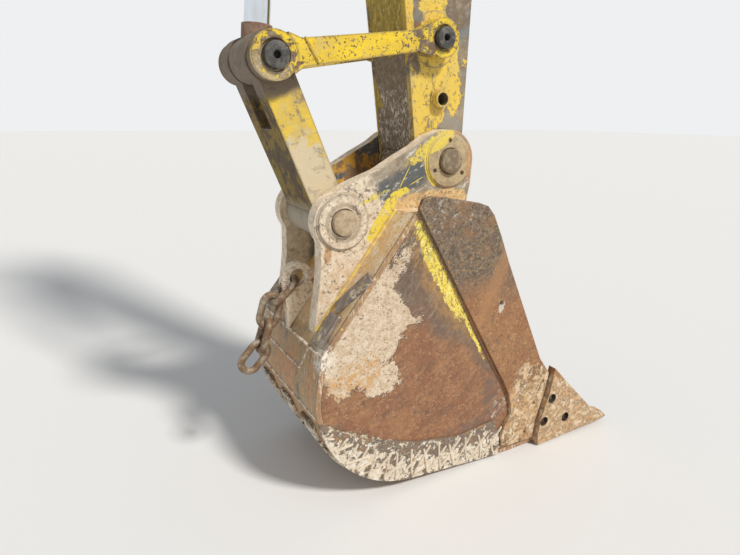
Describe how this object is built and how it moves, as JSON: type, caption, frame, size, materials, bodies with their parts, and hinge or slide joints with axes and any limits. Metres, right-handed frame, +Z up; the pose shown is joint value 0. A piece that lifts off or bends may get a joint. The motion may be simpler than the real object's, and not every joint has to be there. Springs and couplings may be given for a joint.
{
  "type": "excavator dipper stick with bucket cylinder, tipping links and digging bucket",
  "caption": "Welded box stick with a bucket cylinder, tipping links, an H-link and a smooth-lipped digging bucket that curls about its pin.",
  "frame": {"origin": "centre of the boom pivot bore, at mid width", "axes": "+Y along the boom pivot bore; +Z up, along the hanging stick; +X towards the machine"},
  "size_m": [1.855, 0.794, 5.549],
  "materials": {
    "stick_paint": "yellow paint, faded and worn through to blue-grey primer and brown steel",
    "link_paint": "bright yellow paint with dark chips",
    "cylinder_paint": "yellow paint, lightly dusted",
    "pin_steel": "dark greasy steel",
    "rod_chrome": "polished chrome",
    "rod_end": "rust-brown forged steel",
    "ear_steel": "worn steel under dried mud, traces of yellow paint",
    "bucket_steel": "worn rusty steel with dried mud",
    "bar_steel": "rusty abraded steel",
    "chain_steel": "rusty chain steel"
  },
  "bodies": {
    "stick": {"stick_side_near": "stick_paint", "stick_side_far": "stick_paint", "stick_front_plate": "stick_paint", "stick_rear_plate": "stick_paint", "stick_end_plate": "stick_paint", "stick_tip_boss": "stick_paint", "idler_boss": "stick_paint", "boom_boss": "stick_paint", "crossing_pipe": "stick_paint", "arm_cylinder_lugs": "stick_paint", "cylinder_lugs": "stick_paint", "cylinder_base_pin": "pin_steel", "idler_pin": "pin_steel"},
    "cylinder_barrel": {"barrel": "cylinder_paint", "gland": "cylinder_paint", "oil_pipes": "cylinder_paint"},
    "cylinder_rod": {"rod": "rod_chrome", "rod_eye": "rod_end", "eye_pin": "pin_steel"},
    "tipping_links": {"idler_near": "link_paint", "idler_far": "link_paint", "top_pin_near": "pin_steel", "top_pin_far": "pin_steel"},
    "h_link": {"hlink": "link_paint", "fork_pins": "pin_steel"},
    "bucket": {"ear_near": "ear_steel", "ear_far": "ear_steel", "ear_rings": "ear_steel", "bucket_pin": "pin_steel", "link_pin": "pin_steel", "hinge_plate": "ear_steel", "wrapper": "bucket_steel", "side_panel_near": "bucket_steel", "side_panel_far": "bucket_steel", "side_bar_near": "bar_steel", "side_bar_far": "bar_steel", "heel_band_near": "bar_steel", "heel_band_far": "bar_steel", "lip": "bar_steel", "cutter_near": "bar_steel", "cutter_far": "bar_steel", "cutter_bolts": "pin_steel", "wear_strips": "bar_steel", "corner_bars": "bar_steel", "lifting_eye": "ear_steel", "chain": "chain_steel"}
  },
  "joints": [
    {"name": "bucket_curl", "type": "hinge", "parent": "stick", "child": "bucket", "pos_m": [0, 0, -3.2], "axis": [0, -1, 0], "range_deg": [-68, 90]},
    {"name": "links_swing", "type": "hinge", "parent": "stick", "child": "tipping_links", "pos_m": [-0.045, 0, -2.735], "axis": [0, -1, 0], "range_deg": [-49.5, 65.5]},
    {"name": "h_link_swing", "type": "hinge", "parent": "bucket", "child": "h_link", "pos_m": [-0.48361, 0, -3.41684], "axis": [0, -1, 0], "range_deg": [-67, 50.5]},
    {"name": "cylinder_swing", "type": "hinge", "parent": "stick", "child": "cylinder_barrel", "pos_m": [-0.52, 0, -0.42], "axis": [0, -1, 0], "range_deg": [-2.9, 3.8]},
    {"name": "rod_slide", "type": "slide", "parent": "cylinder_barrel", "child": "cylinder_rod", "axis": [-0.0858, 0, -0.9963], "range_m": [-0.5, 0.662]}
  ],
  "couplings": [
    {"joint": "links_swing", "follows": "bucket_curl", "ratio": 0.72},
    {"joint": "h_link_swing", "follows": "bucket_curl", "ratio": -0.735},
    {"joint": "cylinder_swing", "follows": "bucket_curl", "ratio": 0.04},
    {"joint": "rod_slide", "follows": "bucket_curl", "m_per_rad": 0.42}
  ]
}
